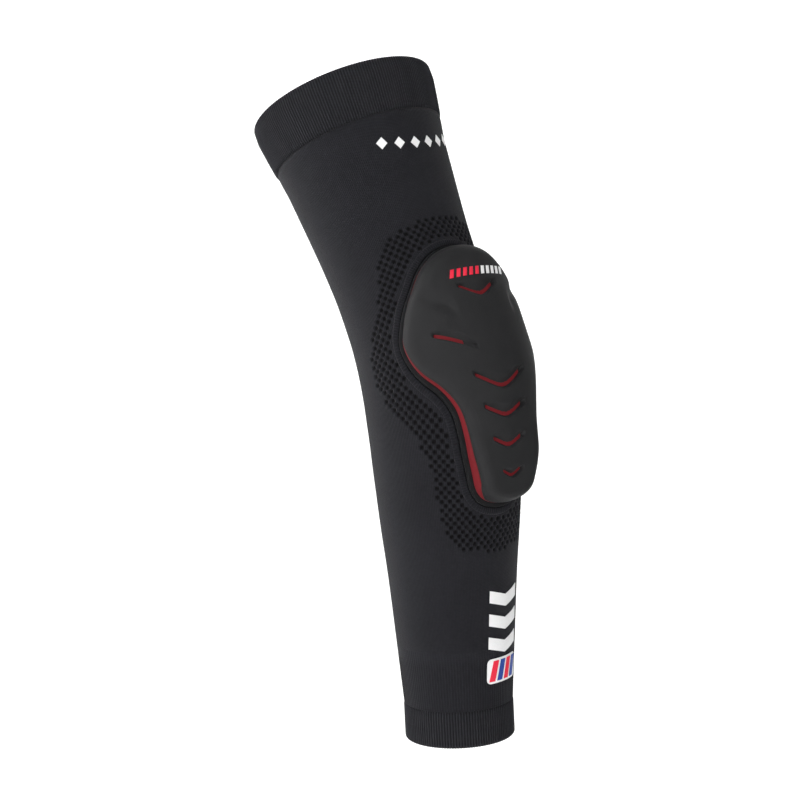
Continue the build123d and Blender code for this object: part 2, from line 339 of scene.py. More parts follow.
def sums(tree, operation, first, second=0.0):
    """Socket with one sum of two values."""
    return add_node(tree, "ShaderNodeMath", {0: first, 1: second}, operation=operation).outputs[0]


def bumped(tree, shader, height, distance):
    """Height in 0 to 1 becomes bump of that distance on the shader."""
    bump = add_node(tree, "ShaderNodeBump", {"Height": height, "Distance": distance,
                                             "Strength": 1.0})
    tree.links.new(bump.outputs["Normal"], shader.inputs["Normal"])


def knit_fabric(name, yarn, wale, bump=0.12 * MM):
    """Black nylon and elastane compression knit: matt, with a soft sheen of fine fuzz.

    Wales run along the arm and courses round it. Holes of the open knit, grooves between ribs
    and gaps beside other parts get painted shade: the yarn darkens towards near black by the
    piece's own `shade` values.
    """
    material, tree, shader = new_material(name, 0.88, 0.12, Sheen_Weight=0.05,
                                          Sheen_Roughness=0.45)
    cloth = add_node(tree, "ShaderNodeUVMap", uv_map="Cloth").outputs[0]
    parts = add_node(tree, "ShaderNodeSeparateXYZ", {0: cloth})
    lanes = sums(tree, "SINE", sums(tree, "MULTIPLY", parts.outputs[0], 2 * pi / wale))
    courses = sums(tree, "SINE", sums(tree, "MULTIPLY", parts.outputs[1], 2 * pi / (0.8 * wale)))
    place = add_node(tree, "ShaderNodeTexCoord").outputs["Object"]
    fuzz = add_node(tree, "ShaderNodeTexNoise", {"Vector": place, "Scale": 1 / (1.6 * MM),
                                                 "Detail": 3.0, "Roughness": 0.7})
    patches = add_node(tree, "ShaderNodeTexNoise", {"Vector": place, "Scale": 1 / (28 * MM),
                                                    "Detail": 2.0})
    weave = sums(tree, "ADD", sums(tree, "MULTIPLY", lanes, 0.55),
                 sums(tree, "MULTIPLY", courses, 0.25))
    height = sums(tree, "ADD", weave, fuzz.outputs["Fac"])
    shade = add_node(tree, "ShaderNodeAttribute", attribute_name="shade").outputs["Fac"]
    tone = sums(tree, "ADD", sums(tree, "MULTIPLY", weave, 0.22),
                sums(tree, "ADD", sums(tree, "MULTIPLY", fuzz.outputs["Fac"], 0.8),
                     sums(tree, "MULTIPLY", patches.outputs["Fac"], 0.4)))
    plain = mixed(tree, sums(tree, "SUBTRACT", tone, 0.1), shaded(yarn, 0.62), shaded(yarn, 1.35))
    # painted shade: the yarn goes towards near black as the point's shade value rises
    tree.links.new(mixed(tree, shade, plain, shaded(yarn, 0.12)), shader.inputs["Base Color"])
    bumped(tree, shader, height, bump)
    return material


def moulded_skin(name, tone, grain, roughness, specular=0.12):
    """Foam moulded in a hot press: a closed matt skin with a fine grain and faint cloudiness."""
    material, tree, shader = new_material(name, roughness, specular)
    place = add_node(tree, "ShaderNodeTexCoord").outputs["Object"]
    pores = add_node(tree, "ShaderNodeTexVoronoi", {"Vector": place, "Scale": 1 / grain})
    cloud = add_node(tree, "ShaderNodeTexNoise", {"Vector": place, "Scale": 1 / (14 * MM),
                                                  "Detail": 4.0, "Roughness": 0.6})
    tree.links.new(mixed(tree, cloud.outputs["Fac"], shaded(tone, 0.86), shaded(tone, 1.14)),
                   shader.inputs["Base Color"])
    gloss = add_node(tree, "ShaderNodeMapRange",
                     {"Value": cloud.outputs["Fac"], "To Min": roughness - 0.06,
                      "To Max": roughness + 0.08})
    tree.links.new(gloss.outputs[0], shader.inputs["Roughness"])
    bumped(tree, shader, pores.outputs["Distance"], 0.06 * MM)
    return material


def transfer_print(name, tone):
    """Heat transfer film pressed on knit: opaque, slightly rubbery, with the knit showing through."""
    material, tree, shader = new_material(name, 0.5, 0.4)
    place = add_node(tree, "ShaderNodeTexCoord").outputs["Object"]
    weave = add_node(tree, "ShaderNodeTexNoise", {"Vector": place, "Scale": 1 / (0.9 * MM),
                                                  "Detail": 2.0})
    tree.links.new(mixed(tree, weave.outputs["Fac"], shaded(tone, 0.9), list(tone)),
                   shader.inputs["Base Color"])
    bumped(tree, shader, weave.outputs["Fac"], 0.05 * MM)
    return material


def woven_band(name, tone, pitch):
    """Woven or twisted polyester: thread ridges at their own pitch, a little sheen."""
    material, tree, shader = new_material(name, 0.7, 0.3, Sheen_Weight=0.1)
    place = add_node(tree, "ShaderNodeTexCoord").outputs["Object"]
    threads = add_node(tree, "ShaderNodeTexWave",
                       {"Vector": place, "Scale": 1 / (pitch * 20 / (2 * pi)),
                        "Distortion": 1.5}, bands_direction="Z")
    tree.links.new(mixed(tree, threads.outputs["Fac"], shaded(tone, 0.7), list(tone)),
                   shader.inputs["Base Color"])
    bumped(tree, shader, threads.outputs["Fac"], 0.1 * MM)
    return material


# The pad's flat plan: `across` is distance round the arm on the knit, `along` distance up it

PLAN_RADIUS = 41.3 * MM
PLAN_MIDDLE = (0.0, 4.0 * MM)
# How far the outline is smoothed, and how many points it has while that is done
EDGE_BLUR = 2.2 * MM
EDGE_POINTS = 4000
# Samples round an edge, and rings from there to the middle: on the pieces with slots, and on
# the plain ones
FINE = (640, 112)
PLAIN = (320, 30)
# Distances of the rings beside a layer's edge
OFFSET_STEPS = MM * np.array([0, 0.12, 0.3, 0.55, 0.85, 1.2, 1.6, 2.0, 2.45, 2.9, 3.4, 3.9, 4.4])


def pad_edge(samples):
    """Pad's outline as (across, along), its inward direction, and how far it is round.

    A closed cubic goes through the outline's points and their mirror. It is smoothed by a
    bell-shaped average along itself, and then cut at even steps.
    """
    side = np.stack([np.radians(PAD_OUTLINE[:, 1]) * PLAN_RADIUS, PAD_OUTLINE[:, 0] * MM], -1)
    knots = np.concatenate([side, side[::-1] * (-1, 1)])
    ring = np.concatenate([knots, knots, knots])
    travelled = np.concatenate([[0], np.cumsum(np.hypot(*np.diff(ring, axis=0).T))])
    count = len(knots)
    start, stop = travelled[count], travelled[2 * count]
    dense = np.linspace(start, stop, EDGE_POINTS, endpoint=False)
    line = np.stack([smooth_line(np.stack([travelled, ring[:, i]], -1), dense)
                     for i in (0, 1)], -1)
    width = EDGE_BLUR / ((stop - start) / EDGE_POINTS)
    shift = np.arange(-80, 81)
    weight = np.exp(-0.5 * (shift / width) ** 2)
    weight /= weight.sum()
    line = sum(w * np.roll(line, s, 0) for w, s in zip(weight, shift))
    steps = np.hypot(*(np.roll(line, -1, 0) - line).T)
    place = np.concatenate([[0], np.cumsum(steps)])
    even = np.linspace(0, place[-1], samples, endpoint=False)
    line = np.stack([np.interp(even, place, np.append(line[:, i], line[0, i]))
                     for i in (0, 1)], -1)
    ahead = np.roll(line, -1, 0) - np.roll(line, 1, 0)
    ahead /= np.hypot(*ahead.T)[:, None]
    return line, np.stack([-ahead[:, 1], ahead[:, 0]], -1), place[-1]


def depth_inside(plan, outline):
    """Distance from each point of a plan to the pad's outline, row by row."""
    return np.stack([np.hypot(*(row[:, None] - outline[None]).transpose(2, 0, 1)).min(1)
                     for row in plan])


def shell_slots(across, along):
    """How far the shell sinks at its slots, and where red foam stands up into them.

    Each slot follows a line with a rounded tip. Below the line is a steep wall, on it a narrow
    floor, and above it a ramp back up to the shell's face, shorter towards the slot's ends.
    """
    pad = bpy.context.scene.elbow_pad
    front = (PLAN_RADIUS + pad.shell_top) * np.sin(across / PLAN_RADIUS)
    sink, filled = np.zeros(across.shape), np.zeros(across.shape)
    tip = 0.32
    for middle, height, half, hang, slope, ramp, (first, last) in SLOTS:
        share = (front / MM - middle) / half
        curve = (np.sqrt(share ** 2 + tip ** 2) - tip) / (np.sqrt(1 + tip ** 2) - tip)
        above = along / MM - (height - hang * (1 - curve) + slope * share * half)
        if height > BROW:
            ramp = np.maximum(1.6 + hang * (1 - curve), 1.5)
        inside = smooth_step(1.12, 0.96, np.abs(share))
        ramp = ramp * (0.25 + 0.75 * smooth_step(1.05, 0.45, np.abs(share)))
        up = np.clip((above - 0.6) / ramp, 0, 1)
        fall = np.where(above > 0, 1 - smooth_step(0.0, 1.0, up),
                        smooth_step(-1.1, -0.6, above))
        shown = inside * smooth_step(first - 0.03, first + 0.03, share) \
            * smooth_step(last + 0.03, last - 0.03, share)
        floor = smooth_step(0.75, 0.45, np.abs(above)) * shown
        sink = np.maximum(sink, inside * fall + 0.4 * floor)
        filled = np.maximum(filled, smooth_step(1.9, 1.3, np.abs(above)) * shown)
    return sink * pad.slot_depth, filled


def pad_walls(along):
    """Width of the skirt, height of the red foam that shows, and how far that foam leans in."""
    pad = bpy.context.scene.elbow_pad
    height = along / MM
    shown = np.interp(height, *RED_SHOWN.T) * MM
    return pad.skirt_width * (1 - 0.5 * smooth_step(15, 48, height)), shown, 0.42 * shown


def shell_face(depth, across, along):
    """Height of the shell's face above the knit, without its slots.

    Above the lower arm it is a steep wall with a rounded corner and a face that is flat across,
    so that it stands higher above the round arm at its sides; above the elbow its edge rounds
    off over a wider band. The shoulders are thinner, and a shallow valley crosses each.
    """
    pad = bpy.context.scene.elbow_pad
    height = along / MM
    skirt, shown, lean = pad_walls(along)
    low = pad.skirt_top + shown
    inside = depth - skirt - lean
    side = np.abs(across) / PLAN_RADIUS
    knit = smooth_line(ARM_RADIUS, along)
    flat = (knit + pad.shell_top) / np.cos(np.minimum(side, radians(21))) - knit
    top = pad.shell_top + (flat - pad.shell_top) * smooth_step(-20, -46, height)
    thin = np.exp(-0.5 * ((height - 22) / 14) ** 2) * smooth_step(radians(28), radians(48), side)
    top = top - 2.2 * MM * thin
    share = np.clip(inside / (np.interp(height, *SHELL_ROUNDING.T) * MM), 0, 1)
    dome = (1 - (1 - share) ** 2.3) ** 0.62
    wall = MM * np.array([-1, 0, 0.3, 1.2, 2.6, 4.4, 60])
    step = np.array([0, 0, 0.36, 0.7, 0.92, 1.0, 1.0])
    corner = sum(np.interp(inside + shift * MM, wall, step)
                 for shift in (-0.3, -0.1, 0.1, 0.3)) / 4
    corner = np.where(inside > 0.3 * MM, corner, np.interp(inside, wall, step))
    tail = smooth_step(4, -16, height)
    face = low + (top - low) * (tail * corner + (1 - tail) * dome)
    run = np.clip((side - radians(19)) / radians(20), 0, 1)
    valley = np.exp(-0.5 * ((height - 24 - 9 * run) / 2.6) ** 2) * smooth_step(0, 0.3, run)
    valley = valley * smooth_step(radians(46), radians(36), side)
    return face - 1.4 * MM * valley * smooth_step(3 * MM, 8 * MM, inside), low


def layer_plan(start, samples, rings):
    """Plan of a layer: rings that keep their distance from its edge, then shrink to its middle."""
    line, inward, _ = pad_edge(samples)
    edge = line + inward * np.broadcast_to(start, samples)[:, None]
    near = edge[None] + inward[None] * OFFSET_STEPS[:, None, None]
    middle = np.array(PLAN_MIDDLE)
    share = np.linspace(1, 0, rings + 1)[1:-1, None, None]
    plan = np.concatenate([near, middle + (near[-1] - middle) * share])
    return plan, depth_inside(plan, line[::max(1, samples // 320)])


def on_arm(plan, height):
    """Points of the plan at their height above the knit."""
    across, along = plan[..., 0], plan[..., 1]
    return arm_point(along, across / PLAN_RADIUS, smooth_line(ARM_RADIUS, along) + height)


def pad_layer(name, start, low, high, material, samples, rings):
    """Closed layer of the pad: its underside from the middle out, then its face back in.

    `start` is how far its edge lies inside the pad's outline. `low` and `high` give the heights
    of its two faces above the knit, from the depth inside the outline and the plan.
    """
    plan, depth = layer_plan(start, samples, rings)
    grid = np.concatenate([on_arm(plan, low(depth, plan))[::-1], on_arm(plan, high(depth, plan))])
    return skin(name, [(grid, False)], material)


def mouth_rise(along, around):
    """How far the sleeve's upper end is pulled up: not at its front left, most at its back."""
    tilt = bpy.context.scene.elbow_sleeve.mouth_tilt
    return tilt / 2 * (1 - np.cos(around - radians(65))) * smooth_step(95 * MM, 135 * MM, along)


def cuff_grid(line, count, way, thickness):
    """Closed section of a folded cuff, turned round the arm with ribs on its faces.

    `line` gives (distance, radius) from the sewn edge to the mouth. Ribs are a cosine of
    `count` waves round the arm. The second value is how deep each point lies in a groove.
    """
    sleeve = bpy.context.scene.elbow_sleeve
    knit, gap = sleeve.knit, sleeve.cuff_gap
    wall = 2 * knit + gap
    edge, mouth = line[0, 0], line[-1, 0]
    fold = wall / 2
    share = np.linspace(0, 1, 14)
    out = edge + (mouth - way * fold - edge) * share
    hem = np.interp(share, [0, 0.03, 0.08, 1], [-0.5 * MM, -0.1 * MM, 0, 0])
    radius = np.interp(out * way, line[:, 0] * way, line[:, 1])
    angle = np.linspace(0, pi, 9)[1:-1]
    last = line[-1, 1]
    bow_along = mouth - way * fold + way * fold * np.sin(angle)
    bow_radius = last - fold + fold * np.cos(angle)
    pocket_end = mouth - way * 2.2 * fold
    pocket = edge + (pocket_end - edge) * np.linspace(0, 1, 4)
    pocket_radius = np.interp(pocket * way, line[:, 0] * way, line[:, 1])
    along = np.concatenate([out, bow_along, out[::-1], pocket, pocket[::-1]])
    around_radius = np.concatenate([radius + hem, bow_radius, radius[::-1] - wall,
                                    pocket_radius - wall + knit, pocket_radius[::-1] - knit])
    ribbed = np.concatenate([np.ones(len(out)), np.linspace(1, 0.6, len(angle)),
                             np.full(len(out), 0.6), np.zeros(2 * len(pocket))])
    around = np.linspace(0, 2 * pi, count * 6, endpoint=False)
    wave = np.cos(count * around)
    height = thickness * (np.abs(0.5 + 0.5 * wave) ** 0.7 - 1) * ribbed[:, None]
    place = along[:, None] + mouth_rise(along[:, None], around[None])
    grid = arm_point(place, around[None], around_radius[:, None] + height)
    if way < 0:
        grid = grid[::-1]
    return grid, (0.5 - 0.5 * wave)[None] ** 1.6 * ribbed[:, None], along, around


# Operators: one for each piece or group of like pieces

class ELBOWPAD_OT_sleeve(bpy.types.Operator):
    """Knit the sleeve, with its open mesh round the pad, down to the top of the forearm's rib"""
    bl_idname = "elbow_pad.sleeve"
    bl_label = "Knitted Sleeve"

    def execute(self, context):
        sizes, tones = context.scene.elbow_sleeve, context.scene.elbow_colours
        pitch, rows = sizes.hole_pitch, sizes.hole_rows
        fine = MM * np.arange(-92, 78, 1000 * rows / 8)
        outer = np.concatenate([[RIB_START], np.linspace(RIB_START + END_ROW, -95 * MM, 20), fine,
                                np.linspace(80 * MM, CUFF_START, 22)])
        reach = radians(97)
        step = pitch / 6 / PLAN_RADIUS
        half = np.arange(0, reach, step)
        front = np.concatenate([-half[:0:-1], half])
        back = np.linspace(half[-1], 2 * pi - half[-1], 46)[1:-1]
        around = np.concatenate([front, back])
        across = np.where(around > pi, around - 2 * pi, around) * PLAN_RADIUS
        along, across = outer[:, None], across[None]
        # a staggered lattice of holes, kept or left out whole by where each hole's middle is
        row = np.round(along / (rows / 2))
        column = np.round(across / pitch - 0.5 * (row % 2)) + 0.5 * (row % 2)
        hole = np.cos(2 * pi * across / pitch) * np.cos(2 * pi * along / rows)
        middle_along = row * rows / 2
        middle_across = column * pitch
        spread = np.radians(np.interp(middle_along / MM, *MESH_ZONE.T)) * PLAN_RADIUS
        open_knit = spread > np.abs(middle_across)
        line, _, _ = pad_edge(400)
        middles = np.stack(np.broadcast_arrays(middle_across, middle_along), -1)
        inside = depth_inside(middles, line)
        open_knit &= ~self.within(middles, line)
        open_knit &= inside > context.scene.elbow_pad.border + 0.9 * MM
        amount = smooth_step(-0.12, 0.55, hole) * open_knit
        ridge = smooth_step(0.1, -0.6, hole) * smooth_step(-3 * MM, 0, spread - np.abs(across))
        ridge = ridge * ~self.within(np.stack(np.broadcast_arrays(across, along), -1), line)
        rise = mouth_rise(along, around[None])
        radius = smooth_line(ARM_RADIUS, along) + 0.12 * MM * ridge - sizes.hole_depth * amount
        radius = radius + (0.35 * MM + 0.12 * rise) * smooth_step(122 * MM, 134 * MM, along)
        face = arm_point(along + rise, around[None], radius)
        inner = np.linspace(CUFF_START, RIB_START, 60)[:, None]
        lining = arm_point(inner + mouth_rise(inner, around[None]), around[None],
                           smooth_line(ARM_RADIUS, inner) - sizes.knit)
        grid = np.concatenate([face, lining])
        # painted shade: holes darken, and the plain knit darkens a little except on the raised ridges
        # between holes, which stand lighter as a painted highlight
        shade = np.concatenate([0.85 * amount + 0.12 * (1 - ridge),
                                np.zeros(lining.shape[:2])])
        up = np.concatenate([outer, 2 * outer[-1] - inner[:, 0],
                             2 * outer[-1] - 2 * inner[-1]])
        turn = np.append(around, around[0] + 2 * pi) * PLAN_RADIUS
        knit = knit_fabric("compression_knit", tones.knit, sizes.wale)
        piece = skin("knit_sleeve", [(grid, True)], knit, (turn, up), {"shade": shade})
        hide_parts("upper_arm_sleeve", "elbow_sleeve", "forearm_sleeve")
        follow_elbow(piece)
        return {"FINISHED"}

    @staticmethod
    def within(points, line):
        """Whether points lie inside a closed line: how often a ray to the right crosses it."""
        nearby = np.roll(line, -1, 0)
        inside = np.zeros(points.shape[:-1], bool)
        for start, stop in zip(line, nearby):
            spans = (start[1] > points[..., 1]) != (stop[1] > points[..., 1])
            rise = stop[1] - start[1] if stop[1] != start[1] else 1.0
            cross = start[0] + (points[..., 1] - start[1]) * (stop[0] - start[0]) / rise
            inside ^= spans & (points[..., 0] < cross)
        return inside


class ELBOWPAD_OT_cuffs(bpy.types.Operator):
    """Fold the two ribbed cuffs, and rib the end of the forearm"""
    bl_idname = "elbow_pad.cuffs"
    bl_label = "Ribbed Cuffs"

    def execute(self, context):
        sizes, tones = context.scene.elbow_sleeve, context.scene.elbow_colours
        rib_knit = knit_fabric("rib_knit", tones.cuff, sizes.rib / 2, 0.05 * MM)
        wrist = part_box("forearm_cuff")
        wrist_radius = wrist[1].x
        lines = {
            "upper": (np.array([(CUFF_START, 47.8 * MM), (146 * MM, 49.5 * MM),
                                (157 * MM, 51.2 * MM), (165 * MM, 51.2 * MM)]), 1),
            "forearm": (np.array([(wrist[1].z, wrist_radius),
                                  (wrist[0].z - 2 * MM, wrist_radius)]), -1),
        }
        bodies = {"upper": "upper_arm", "forearm": "forearm"}
        for side, (line, way) in lines.items():
            count = int(2 * pi * line[:, 1].mean() / sizes.rib)
            grid, groove, along, around = cuff_grid(line, count, way, sizes.rib_height)
            if way < 0:
                groove = groove[::-1]
            up = np.append(along, along[0] * 2)
            turn = np.append(around, 2 * pi) * line[0, 1]
            # painted shade: the grooves between the ribs darken with their depth
            piece = skin(f"{side}_cuff_knit", [(grid, True)], rib_knit, (turn, up),
                         {"shade": 0.9 * groove})
            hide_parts(f"{side}_cuff")
            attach(piece, bodies[side])
        # the forearm's rib fades in from the plain knit above it
        rows = np.linspace(RIB_END + END_ROW, RIB_START - END_ROW, 24)
        along = np.concatenate([[RIB_END], rows, [RIB_START]])
        rib_radius = 30.6 * MM
        count = int(2 * pi * rib_radius / sizes.rib)
        around = np.linspace(0, 2 * pi, count * 6, endpoint=False)
        fade = 0.8 * smooth_step(RIB_START, RIB_START - 9 * MM, along)[:, None]
        wave = np.cos(count * around)[None]
        radius = smooth_line(ARM_RADIUS, along)[:, None]
        outer = arm_point(along[:, None], around[None],
                          radius + 0.22 * MM * fade * (wave - 1) / 2)
        inner = arm_point(along[::-1, None], around[None], radius[::-1] - sizes.knit)
        # painted shade: the grooves between the fading ribs darken with their depth; the lining has
        # none
        groove = 0.5 * fade * (0.5 - 0.5 * wave)
        shade = np.concatenate([groove, np.zeros(groove.shape)])
        up = np.concatenate([along, 2 * along[-1] - along[::-1],
                             [3 * along[-1] - 2 * along[0]]])
        piece = skin("forearm_rib_knit", [(np.concatenate([outer, inner]), True)],
                     knit_fabric("forearm_knit", tones.knit, sizes.rib, 0.08 * MM),
                     (np.append(around, 2 * pi) * rib_radius, up), {"shade": shade})
        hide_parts("forearm_rib")
        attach(piece, "forearm")
        return {"FINISHED"}


class ELBOWPAD_OT_border(bpy.types.Operator):
    """Knit the stitched border that holds the pad's skirt"""
    bl_idname = "elbow_pad.border"
    bl_label = "Stitched Border"

    def execute(self, context):
        pad, tones = context.scene.elbow_pad, context.scene.elbow_colours
        _, _, girth = pad_edge(400)
        count, fine = int(girth / pad.stitch), 5
        line, inward, _ = pad_edge(count * fine)
        section = MM * np.array([
            (-4.4, -0.25), (-4.2, 0.15), (-3.9, 0.6), (-3.4, 0.85), (-2.6, 0.95), (-1.7, 0.95),
            (-1.0, 0.85), (-0.6, 0.55), (-0.35, 0.15), (-0.1, -0.1), (-0.4, -0.4), (-2.2, -0.45)])
        ribbed = np.array([0, 0.3, 1, 1, 1, 1, 1, 0.6, 0.2, 0, 0, 0])
        section[:, 0] *= pad.border / (4.2 * MM)
        wave = np.cos(2 * pi * np.arange(count * fine) / fine)
        height = section[:, 1][:, None] + 0.3 * MM * ribbed[:, None] * (wave - 1) / 2
        plan = line[None] + inward[None] * section[:, 0][:, None, None]
        # painted shade: the grooves between stitches darken a little, and the inner edge beside the
        # skirt goes near black as a painted shadow in the gap
        groove = ribbed[:, None] * (0.5 - 0.5 * wave)
        gap = np.array([0, 0, 0, 0, 0, 0, 0.1, 0.6, 1, 1, 1, 0])[:, None]
        knit = knit_fabric("border_knit", tones.knit, 0.6 * MM, 0.04 * MM)
        piece = skin("pad_border_knit", [(on_arm(plan, height), True)], knit,
                     (np.linspace(0, girth, count * fine + 1), np.linspace(0, 12 * MM, 13)),
                     {"shade": np.maximum(0.35 * groove, gap)})
        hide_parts("pad_stitching")
        follow_elbow(piece)
        return {"FINISHED"}


class ELBOWPAD_OT_pad_layers(bpy.types.Operator):
    """Stack the backing cloth, the skirt, the soft core and the red foam"""
    bl_idname = "elbow_pad.pad_layers"
    bl_label = "Pad Layers"

    def execute(self, context):
        pad, tones = context.scene.elbow_pad, context.scene.elbow_colours

        def flat(height):
            return lambda depth, plan: np.full(depth.shape, height)

        def backing_face(depth, plan):
            return pad.backing_top - 0.3 * MM * smooth_step(0.4 * MM, 0, depth)

        def skirt_face(depth, plan):
            rounded = np.sqrt(np.clip(1 - (1 - depth / (1.1 * MM)).clip(0, 1) ** 2, 0, 1))
            return pad.backing_top + (pad.skirt_top - pad.backing_top) * (0.25 + 0.75 * rounded)

        def core_face(depth, plan):
            inside = np.clip((depth - 5.6 * MM) / (3 * MM), 0, 1)
            return pad.skirt_top + 0.1 * MM + (pad.core_top - pad.skirt_top - 0.1 * MM) \
                * (0.35 + 0.65 * np.sqrt(inside * (2 - inside)))

        def red_low(depth, plan):
            room = smooth_step(4.8 * MM, 5.4 * MM, depth)
            return pad.skirt_top + 0.02 * MM + room * (pad.core_top - pad.skirt_top + 0.1 * MM)

        def red_face(depth, plan):
            across, along = plan[..., 0], plan[..., 1]
            face, _ = shell_face(depth, across, along)
            _, filled = shell_slots(across, along)
            skirt, shown, lean = pad_walls(along)
            climb = np.clip((depth - skirt) / np.maximum(lean, 0.03 * MM), 0, 1)
            slope = pad.skirt_top + 0.05 * MM + (shown - 0.05 * MM) * climb
            under = np.minimum(pad.red_top, face - 1.8 * MM)
            inside = depth - skirt - lean
            body = slope + (np.maximum(under, slope) - slope) * smooth_step(
                0.3 * MM, 2.2 * MM, inside)
            return body + (face - pad.slot_depth - body) * filled

        layers = (
            ("pad_backing_cloth", "pad_backing", 0.0, flat(pad.backing_low), backing_face,
             woven_band("backing_cloth", linear("202023"), 0.7 * MM), "backing_fabric", PLAIN),
            ("pad_skirt", "pad_flange", 0.0, flat(pad.backing_top + 0.02 * MM), skirt_face,
             moulded_skin("skirt_laminate", tones.skirt, 0.5 * MM, 0.8, 0.2), "pad_skirt",
             (480, 30)),
            ("pad_soft_core", "pad_core", 5.6 * MM, flat(pad.skirt_top + 0.05 * MM), core_face,
             moulded_skin("open_cell_foam", linear("3b3b3e"), 0.8 * MM, 0.9, 0.1), "soft_foam",
             PLAIN),
            ("pad_red_foam", "pad_red_layer", pad_walls(pad_edge(FINE[0])[0][:, 1])[0], red_low,
             red_face, moulded_skin("red_foam", tones.red, 0.45 * MM, 0.6), "red_foam", FINE),
        )
        for name, node, start, low, high, material, slot, fineness in layers:
            piece = pad_layer(name, start, low, high, material, *fineness)
            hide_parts(node)
            follow_elbow(piece)
        return {"FINISHED"}


class ELBOWPAD_OT_shell(bpy.types.Operator):
    """Mould the grey shell, with its slots and its valleys"""
    bl_idname = "elbow_pad.shell"
    bl_label = "Moulded Shell"

    def execute(self, context):
        pad, tones = context.scene.elbow_pad, context.scene.elbow_colours
        edge_skirt, _, edge_lean = pad_walls(pad_edge(FINE[0])[0][:, 1])

        def face(depth, plan):
            height, low = shell_face(depth, plan[..., 0], plan[..., 1])
            sink, _ = shell_slots(plan[..., 0], plan[..., 1])
            return np.maximum(height, low + 0.35 * MM) - sink

        def underside(depth, plan):
            height, low = shell_face(depth, plan[..., 0], plan[..., 1])
            sink, _ = shell_slots(plan[..., 0], plan[..., 1])
            skirt, _, lean = pad_walls(plan[..., 1])
            inside = depth - skirt - lean
            under = np.minimum(pad.red_top + 0.03 * MM, height - 1.75 * MM)
            under = low + (np.maximum(under, low) - low) * smooth_step(0.3 * MM, 2.2 * MM, inside)
            return np.minimum(under, height - sink - 0.6 * MM * smooth_step(
                0, 1.5 * MM, inside))

        grey = moulded_skin("moulded_shell", tones.shell, 0.35 * MM, 0.6)
        piece = pad_layer("pad_shell_skin", edge_skirt + edge_lean, underside, face, grey, *FINE)
        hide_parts("pad_shell")
        follow_elbow(piece)
        return {"FINISHED"}


class ELBOWPAD_OT_marks(bpy.types.Operator):
    """Print two rows of slanted bars on the shell's brow"""
    bl_idname = "elbow_pad.marks"
    bl_label = "Shell Marks"

    def execute(self, context):
        tones = context.scene.elbow_colours
        line, _, _ = pad_edge(400)
        width, height, slant, pitch, base = MM * np.array([1.85, 4.5, -1.5, 3.15, 37.5])
        sideways = -2.2 * MM
        # a square's outline, and smaller ones inside it
        step = np.linspace(0, 1, 9)[:-1, None]
        corners = np.array([(0, 0), (1, 0), (1, 1), (0, 1)])
        square = np.concatenate([first + (second - first) * step for first, second
                                 in zip(corners, np.roll(corners, -1, 0))]) - 0.5
        rings = square * np.array([1.0, 0.75, 0.5, 0.25])[:, None, None]
        for tone, way in (("red", 1), ("white", -1)):
            parts = []
            for number in range(5):
                middle = way * pitch * (number + 0.5) + sideways
                across = middle + rings[..., 0] * width + rings[..., 1] * slant
                along = base + (rings[..., 1] + 0.5) * height
                plan = np.stack([across, along], -1)
                top, _ = shell_face(depth_inside(plan, line), across, along)
                lift = np.array([0.1, 0.2, 0.2, 0.2])[:, None] * MM
                grid = np.concatenate([on_arm(plan, top - 0.3 * MM)[::-1],
                                       on_arm(plan, top + lift)])
                parts.append((grid, False))
            film = transfer_print(f"mark_{tone}_film", getattr(tones, f"print_{tone}"))
            piece = skin(f"pad_{tone}_bars", parts, film)
            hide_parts(f"pad_mark_{tone}")
            follow_elbow(piece)
        return {"FINISHED"}


class ELBOWPAD_OT_prints(bpy.types.Operator):
    """Finish the pieces that keep their built shape: prints, badge, elastics and seams"""
    bl_idname = "elbow_pad.prints"
    bl_label = "Prints and Seams"

    def execute(self, context):
        tones = context.scene.elbow_colours
        white = transfer_print("white_film", tones.print_white)
        elastic = woven_band("woven_elastic", linear("1d1d20"), 1.0 * MM)
        thread = woven_band("seam_thread", linear("151517"), 0.6 * MM)
        finishes = {
            "upper_print": white,
            "forearm_print": white,
            "forearm_badge": white,
            "forearm_badge_red": transfer_print("red_film", tones.print_red),
            "forearm_badge_blue": transfer_print("blue_film", tones.print_blue),
            "upper_cuff_elastic": elastic,
            "forearm_cuff_elastic": elastic,
            "upper_cuff_seam": thread,
            "forearm_cuff_seam": thread,
        }
        for node, finish in finishes.items():
            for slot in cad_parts[node].material_slots:
                slot.material = finish
        return {"FINISHED"}


